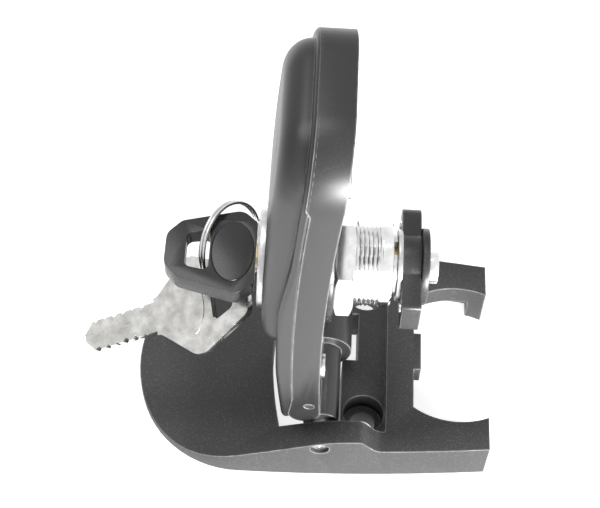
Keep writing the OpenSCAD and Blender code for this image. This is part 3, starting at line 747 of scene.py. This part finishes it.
# --- Gasket, nut and escutcheon -------------------------------------------------------
# The hexagon nut draws the barrel down on a dark sealing disc; on the dome's side a
# satin ring frames the lock.
seal = coated(
    "seal_rubber", (0.016, 0.016, 0.016), (0.03, 0.03, 0.03), (0.08, 0.08, 0.08), 0.28, 1800,
    0.006 * mm, 0.5
)
gasket = piece_from(
    cad_mesh("lock_gasket"), "sealing_disc", "lid", seal, "lock_gasket"
)
round_edges(gasket, 0.5 * mm)
nut = piece_from(
    cad_mesh("lock_nut"), "hexagon_nut", "lid", bright_plate, "lock_nut"
)
round_edges(nut, 0.3 * mm)
ring = piece_from(
    cad_mesh("lock_escutcheon"), "escutcheon_ring", "lid", pin_steel, "lock_escutcheon"
)
round_edges(ring, 0.25 * mm)


# --- Plug, wafers, clip and stop washer -----------------------------------------------
# The turning core of the lock, in brass, with its wafers, the clip that keeps it in the
# barrel, and the washer that limits its turn.
brass = bare_metal("plug_brass", (0.62, 0.5, 0.28), (0.42, 0.33, 0.18), 0.3, (3000, 300, 300))
for node, name, slot, finish, width in (
    ("plug", "plug_core", "plug_brass", brass, 0.15 * mm),
    ("wafer_tumblers", "wafers", "plug_brass", brass, 0.0),
    ("plug_clip", "core_clip", "steel", pin_steel, 0.1 * mm),
    ("cam_stop_washer", "stop_washer", "steel", pin_steel, 0.15 * mm),
):
    part = piece_from(cad_mesh(node), name, "lock_core", finish, node)
    if width:
        round_edges(part, width)


# --- Cam ------------------------------------------------------------------------------
# A thick steel cam with two arms, black finished, its corners painted lighter as a little
# wear and a painted highlight, with a bright pin in each arm. A black washer and a bright
# screw hold it on.
# The light edge colour is partly wear and partly a painted highlight
cam_black = coated(
    "cam_black", (0.016, 0.016, 0.017), (0.04, 0.04, 0.04), (0.3, 0.3, 0.3), 0.32, 1700,
    0.03 * mm, 0.6
)
cam = piece_from(cad_mesh("cam"), "cam_wing", "lock_core", cam_black, "cam")
round_edges(cam, 0.7 * mm)
cam_pins = piece_from(
    cad_mesh("cam_tip_pins"), "cam_pins", "lock_core", bright_plate, "cam_tip_pins"
)
round_edges(cam_pins, 0.2 * mm)
washer = piece_from(
    cad_mesh("cam_hub_washer"), "cam_washer", "lock_core", cam_black,
    "cam_hub_washer",
)
round_edges(washer, 0.35 * mm)
bolt = piece_from(
    cad_mesh("cam_bolt"), "cam_screw", "lock_core", bright_plate, "cam_bolt"
)
round_edges(bolt, 0.35 * mm)


# --- Key in the lock ------------------------------------------------------------------
# A nickel blade moulded into a black plastic head. The head has a window for the ring
# and a plain raised oval on each face.
nickel = bare_metal("nickel", (0.74, 0.735, 0.715), (0.4, 0.395, 0.38), 0.2, (260, 3600, 260))
key_plastic = coated(
    "key_plastic", (0.012, 0.012, 0.0125), (0.02, 0.02, 0.02), (0.1, 0.1, 0.1), 0.26, 1400,
    0.012 * mm, 0.4
)
piece_from(cad_mesh("key_blade", False), "blade", "key", nickel, "key_blade")
head = piece_from(cad_mesh("key_head"), "head", "key", key_plastic, "key_head")
round_edges(head, 0.9 * mm, steps=4)
badge = piece_from(
    cad_mesh("key_badge"), "head_oval", "key", key_plastic, "key_badge"
)
round_edges(badge, 0.3 * mm)


# --- Split ring -----------------------------------------------------------------------
# Two turns of spring wire lying against each other, through the window of the key's head
# and the hole of the spare key.
ring_steel = bare_metal("ring_steel", (0.7, 0.7, 0.7), (0.5, 0.5, 0.5), 0.2, (300, 300, 300))
ring_points = np.array([tuple(v.co) for v in frame["nodes"]["split_ring"].data.vertices])
ring_centre = (ring_points.max(axis=0) + ring_points.min(axis=0)) / 2
ring_axes = np.linalg.svd(ring_points - ring_centre, full_matrices=False)[2]
wire_radius = 0.5 * mm
ring_reach = np.linalg.norm((ring_points - ring_centre) @ ring_axes[:2].T, axis=1).max()
coil_radius = ring_reach - wire_radius
crossing = 35
sweep = 715
wire_fill = 0.97


def wire_coil():
    """Two turns side by side, with a short crossing and two square-cut ends."""
    shape = bmesh.new()
    sides = 16
    wire = wire_radius * wire_fill
    rings = []
    for degree in range(0, sweep + 1, 5):
        angle = math.radians(degree)
        share = min(1, max(0, (degree - 360 + crossing) / (2 * crossing)))
        along = wire_radius * (2 * share * share * (3 - 2 * share) - 1)
        outward = ring_axes[0] * math.cos(angle) + ring_axes[1] * math.sin(angle)
        middle = ring_centre + outward * coil_radius + ring_axes[2] * along
        rings.append([
            shape.verts.new(middle + wire * (
                outward * math.cos(math.tau * k / sides) + ring_axes[2] * math.sin(math.tau * k / sides)
            )) for k in range(sides)
        ])
    for low, high in zip(rings, rings[1:]):
        for step in range(sides):
            after = (step + 1) % sides
            shape.faces.new((low[step], low[after], high[after], high[step]))
    shape.faces.new(rings[0])
    shape.faces.new(list(reversed(rings[-1])))
    bmesh.ops.recalc_face_normals(shape, faces=shape.faces)
    return shape


piece_from(wire_coil(), "ring_loop", "ring", ring_steel, "split_ring")


# --- Spare key ------------------------------------------------------------------------
# One stamped piece, nickel plated: grooved blade with wafer cuts on both edges, and a
# bow with a hole and a plain raised oval.
spare = piece_from(cad_mesh("spare_key"), "spare", "spare", nickel, "spare_key")
round_edges(spare, 0.15 * mm)
